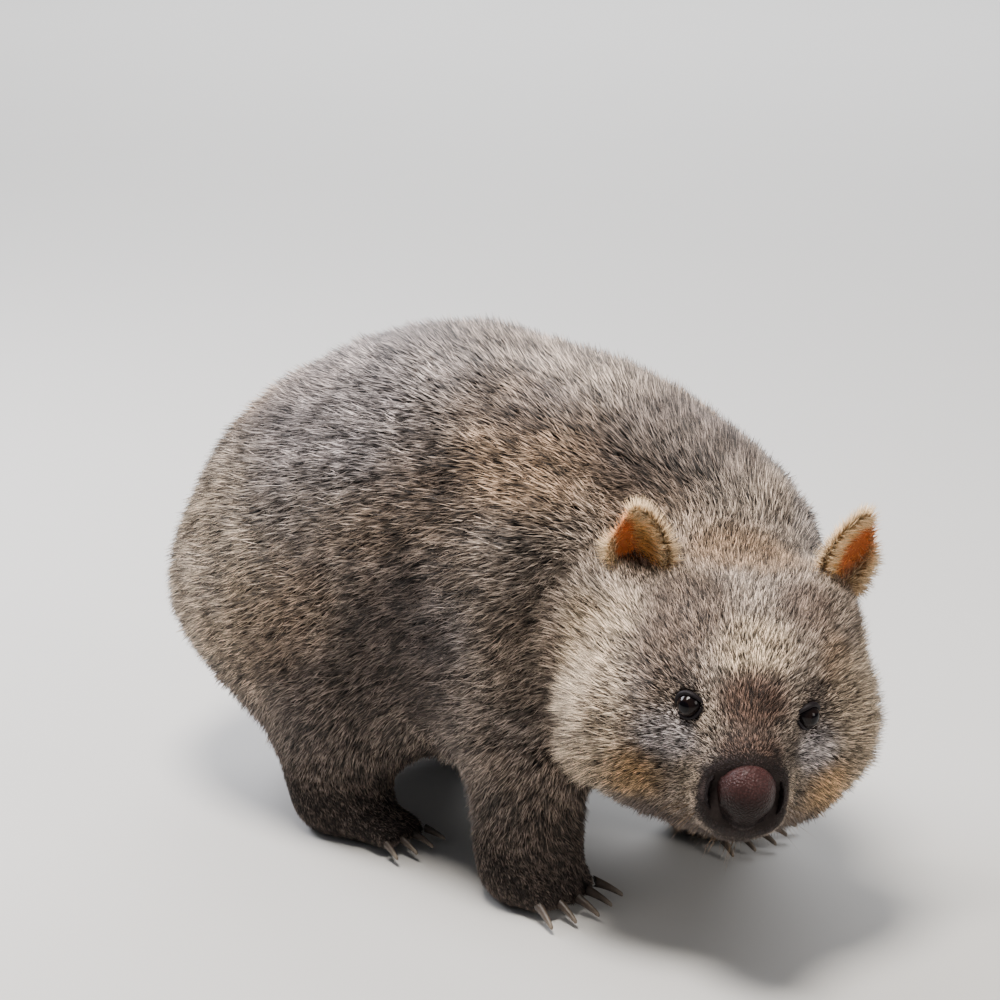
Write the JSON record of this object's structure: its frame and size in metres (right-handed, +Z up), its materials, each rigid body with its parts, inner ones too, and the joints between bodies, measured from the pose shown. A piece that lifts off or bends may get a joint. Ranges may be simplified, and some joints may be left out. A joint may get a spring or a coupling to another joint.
{
  "type": "wombat",
  "caption": "Life-size bare-nosed wombat standing on all fours, back arched, head low and turned to its right, parted at neck, ears, jaw, nose, legs, paws, claws and tail.",
  "frame": {"origin": "on the floor, under the middle of the model's box", "axes": "+X from the rump to the shoulders, +Y to the animal's left, +Z up"},
  "size_m": [0.6656, 0.31, 0.3902],
  "materials": {
    "coat": "short coarse fur, grey-brown with pale tips",
    "face": "short fur, cream-grey with dark underfur",
    "ear": "thin skin with orange-buff down inside and a cream fringe",
    "nose": "bare moist brown skin, satin",
    "eye": "clear dark gloss",
    "claw": "worn dark horn",
    "paw": "short dark fur over leathery soles"
  },
  "bodies": {
    "root": {"jaw": "face", "eye_right": "eye", "eye_left": "eye", "nose": "nose", "head": "face", "upper_foreleg_right": "coat", "forearm_right": "coat", "forepaw_right": "paw", "thigh_right": "coat", "shank_right": "coat", "hindfoot_right": "paw", "upper_foreleg_left": "coat", "forearm_left": "coat", "forepaw_left": "paw", "thigh_left": "coat", "shank_left": "coat", "hindfoot_left": "paw", "foreclaw_right_1": "claw", "foreclaw_right_2": "claw", "foreclaw_right_3": "claw", "foreclaw_right_4": "claw", "foreclaw_right_5": "claw", "hindclaw_right_1": "claw", "hindclaw_right_2": "claw", "hindclaw_right_3": "claw", "hindclaw_right_4": "claw", "foreclaw_left_1": "claw", "foreclaw_left_2": "claw", "foreclaw_left_3": "claw", "foreclaw_left_4": "claw", "foreclaw_left_5": "claw", "hindclaw_left_1": "claw", "hindclaw_left_2": "claw", "hindclaw_left_3": "claw", "hindclaw_left_4": "claw", "torso": "coat", "neck": "coat", "ear_right": "ear", "ear_left": "ear", "tail": "coat"}
  },
  "joints": []
}
